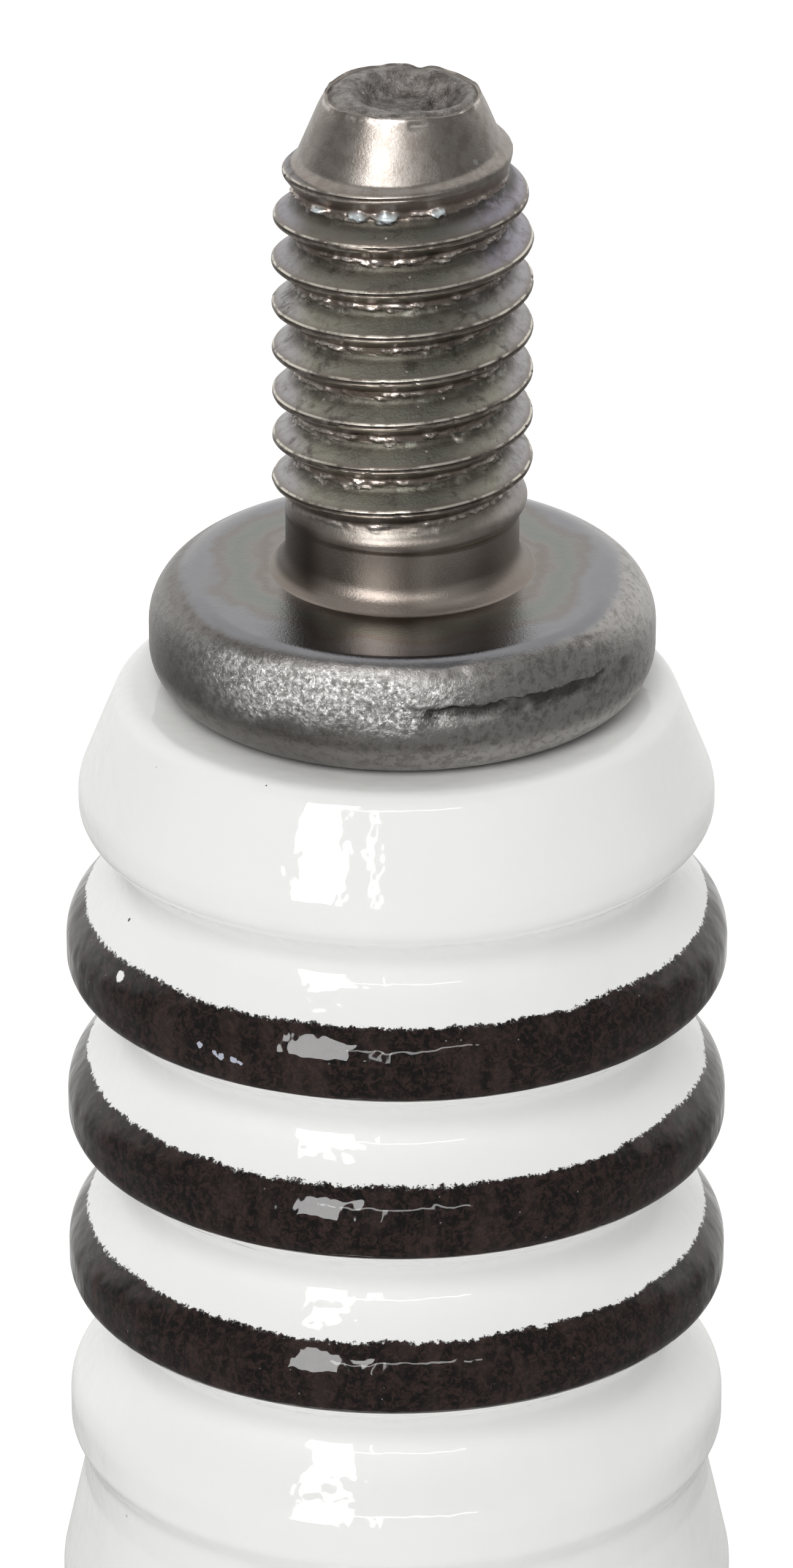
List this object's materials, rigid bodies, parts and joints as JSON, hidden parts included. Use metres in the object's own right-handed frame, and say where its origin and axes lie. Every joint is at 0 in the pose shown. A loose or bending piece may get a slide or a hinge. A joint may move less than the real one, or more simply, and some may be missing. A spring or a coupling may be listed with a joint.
{
  "type": "spark plug",
  "caption": "Spark plug with a ribbed, dark-banded porcelain insulator, bare threaded terminal stud, hexagonal threaded steel shell, captive crush gasket and bent ground electrode.",
  "frame": {"origin": "centre of the shell's gasket seat plane", "axes": "+Z along the plug towards the terminal stud; the ground electrode's leg is on the +X side"},
  "size_m": [0.0195, 0.0194, 0.0741],
  "materials": {
    "terminal_metal": "dull nickel-plated steel, turned and rolled, with burrs",
    "porcelain": "gloss glaze over white alumina, dark brown bands on the upper three ribs",
    "seal_glass": "opaque copper-filled glass",
    "resistor_body": "dull carbon-filled glass",
    "electrode_alloy": "satin nickel alloy",
    "copper": "bare copper",
    "plated_steel": "satin nickel plate",
    "packing_steel": "plain drawn steel",
    "talc": "pressed powder",
    "gasket_steel": "satin plated sheet"
  },
  "bodies": {
    "plug": {"terminal_stud": "terminal_metal", "insulator": "porcelain", "upper_glass_seal": "seal_glass", "resistor_element": "resistor_body", "lower_glass_seal": "seal_glass", "centre_electrode": "electrode_alloy", "centre_electrode_core": "copper", "shell": "plated_steel", "seat_packing_ring": "packing_steel", "lower_packing_ring": "packing_steel", "upper_packing_ring": "packing_steel", "talc_packing": "talc", "ground_electrode": "electrode_alloy"},
    "gasket": {"gasket": "gasket_steel"}
  },
  "joints": [
    {"name": "gasket_slide", "type": "slide", "parent": "plug", "child": "gasket", "axis": [0, 0, 1], "range_m": [0, 0.00068]}
  ]
}
